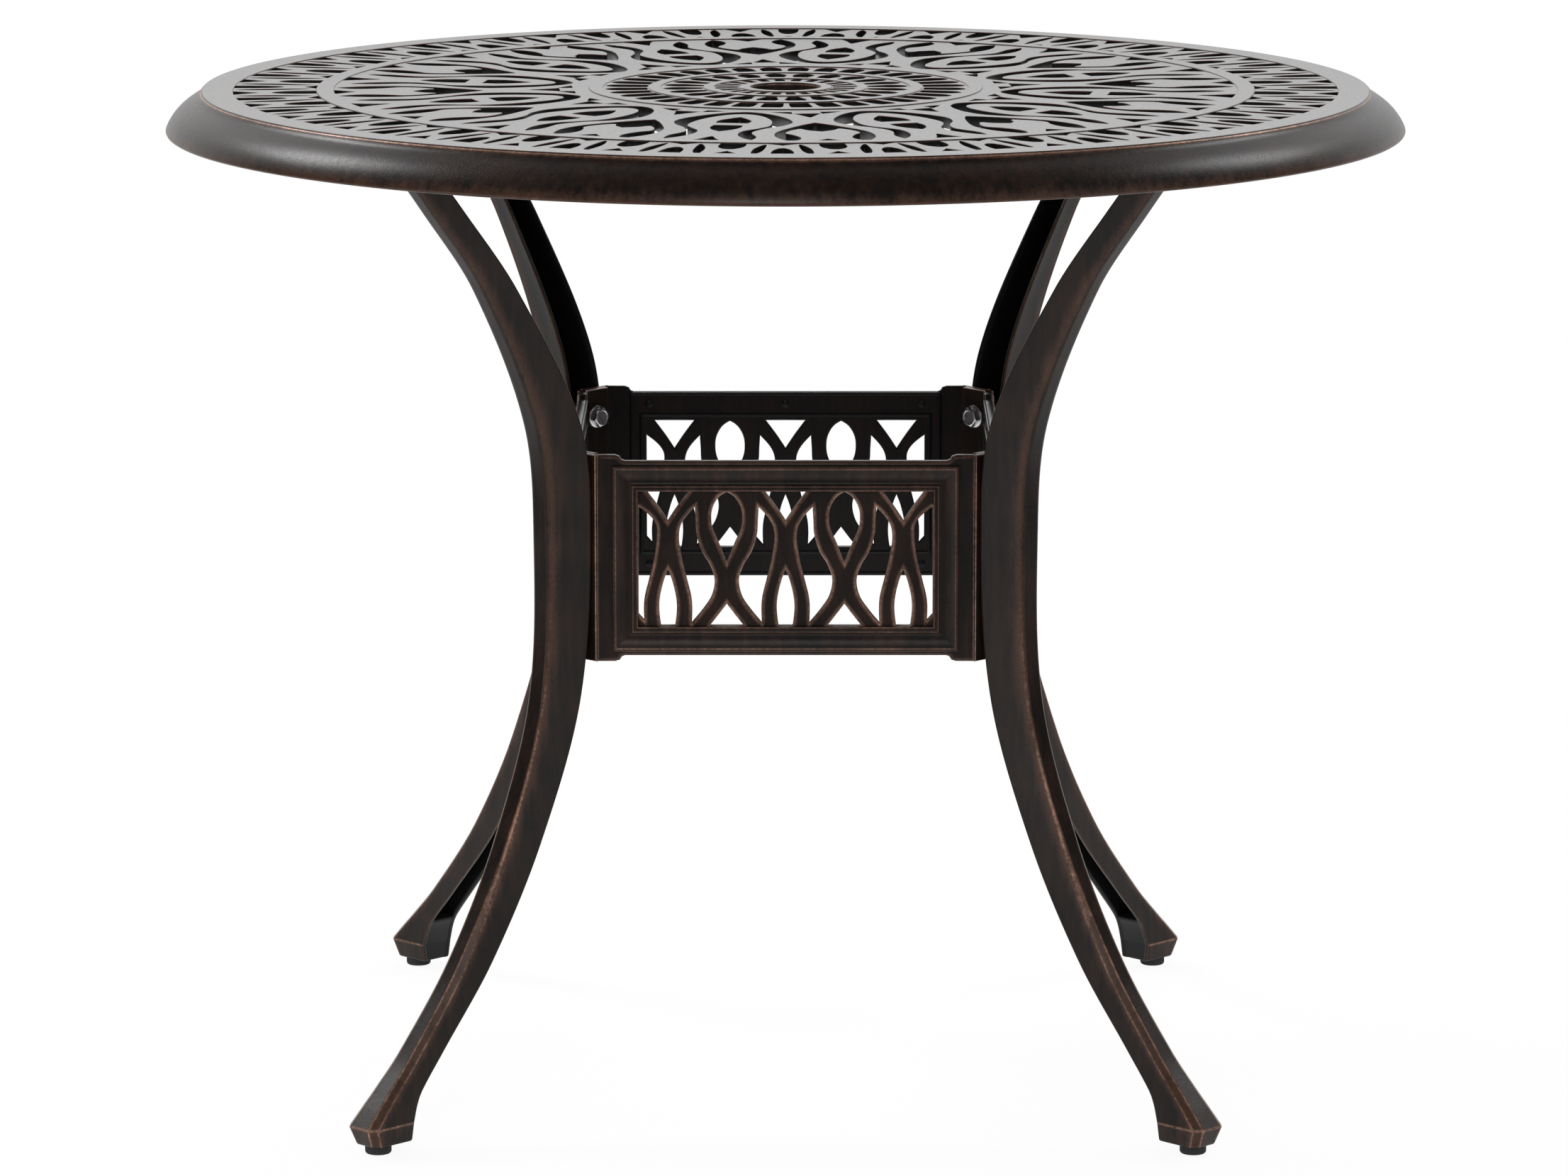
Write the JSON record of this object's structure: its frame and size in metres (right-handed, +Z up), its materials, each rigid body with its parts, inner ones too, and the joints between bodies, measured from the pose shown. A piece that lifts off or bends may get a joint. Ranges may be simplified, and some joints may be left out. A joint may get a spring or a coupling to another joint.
{
  "type": "round garden table",
  "caption": "Round cast-metal garden table with an openwork top, umbrella hole, curved channel legs, square lattice apron and screw-in levelling feet.",
  "frame": {"origin": "on the floor, under the middle of the tabletop", "axes": "+Z up along the umbrella hole, -Y towards the front apron panel, +X to the right seen from the front"},
  "size_m": [0.8999, 0.9, 0.724],
  "materials": {
    "bronze_paint": "satin",
    "zinc_steel": "satin",
    "black_plastic": "matte"
  },
  "bodies": {
    "table": {"tabletop": "bronze_paint", "leg_front_left": "bronze_paint", "leg_front_right": "bronze_paint", "leg_rear_right": "bronze_paint", "leg_rear_left": "bronze_paint", "apron_panel_front": "bronze_paint", "apron_panel_rear": "bronze_paint", "apron_panel_left": "bronze_paint", "apron_panel_right": "bronze_paint", "apron_bolts": "zinc_steel", "apron_washers": "zinc_steel", "top_bolts": "zinc_steel"},
    "stud_front_left": {"glide_stud_front_left": "zinc_steel"},
    "stud_front_right": {"glide_stud_front_right": "zinc_steel"},
    "stud_rear_right": {"glide_stud_rear_right": "zinc_steel"},
    "stud_rear_left": {"glide_stud_rear_left": "zinc_steel"},
    "base_front_left": {"glide_base_front_left": "black_plastic"},
    "base_front_right": {"glide_base_front_right": "black_plastic"},
    "base_rear_right": {"glide_base_rear_right": "black_plastic"},
    "base_rear_left": {"glide_base_rear_left": "black_plastic"}
  },
  "joints": [
    {"name": "glide_lift_front_left", "type": "slide", "parent": "table", "child": "stud_front_left", "axis": [0, 0, -1], "range_m": [0, 0.008]},
    {"name": "glide_turn_front_left", "type": "hinge", "parent": "stud_front_left", "child": "base_front_left", "pos_m": [-0.28779, -0.28779, 0.003], "axis": [0, 0, -1], "range_deg": [0, 2304.1]},
    {"name": "glide_lift_front_right", "type": "slide", "parent": "table", "child": "stud_front_right", "axis": [0, 0, -1], "range_m": [0, 0.008]},
    {"name": "glide_turn_front_right", "type": "hinge", "parent": "stud_front_right", "child": "base_front_right", "pos_m": [0.28779, -0.28779, 0.003], "axis": [0, 0, -1], "range_deg": [0, 2304.1]},
    {"name": "glide_lift_rear_right", "type": "slide", "parent": "table", "child": "stud_rear_right", "axis": [0, 0, -1], "range_m": [0, 0.008]},
    {"name": "glide_turn_rear_right", "type": "hinge", "parent": "stud_rear_right", "child": "base_rear_right", "pos_m": [0.28779, 0.28779, 0.003], "axis": [0, 0, -1], "range_deg": [0, 2304.1]},
    {"name": "glide_lift_rear_left", "type": "slide", "parent": "table", "child": "stud_rear_left", "axis": [0, 0, -1], "range_m": [0, 0.008]},
    {"name": "glide_turn_rear_left", "type": "hinge", "parent": "stud_rear_left", "child": "base_rear_left", "pos_m": [-0.28779, 0.28779, 0.003], "axis": [0, 0, -1], "range_deg": [0, 2304.1]}
  ],
  "couplings": [
    {"joint": "glide_turn_front_left", "follows": "glide_lift_front_left", "rad_per_m": 5026.5},
    {"joint": "glide_turn_front_right", "follows": "glide_lift_front_right", "rad_per_m": 5026.5},
    {"joint": "glide_turn_rear_right", "follows": "glide_lift_rear_right", "rad_per_m": 5026.5},
    {"joint": "glide_turn_rear_left", "follows": "glide_lift_rear_left", "rad_per_m": 5026.5}
  ]
}
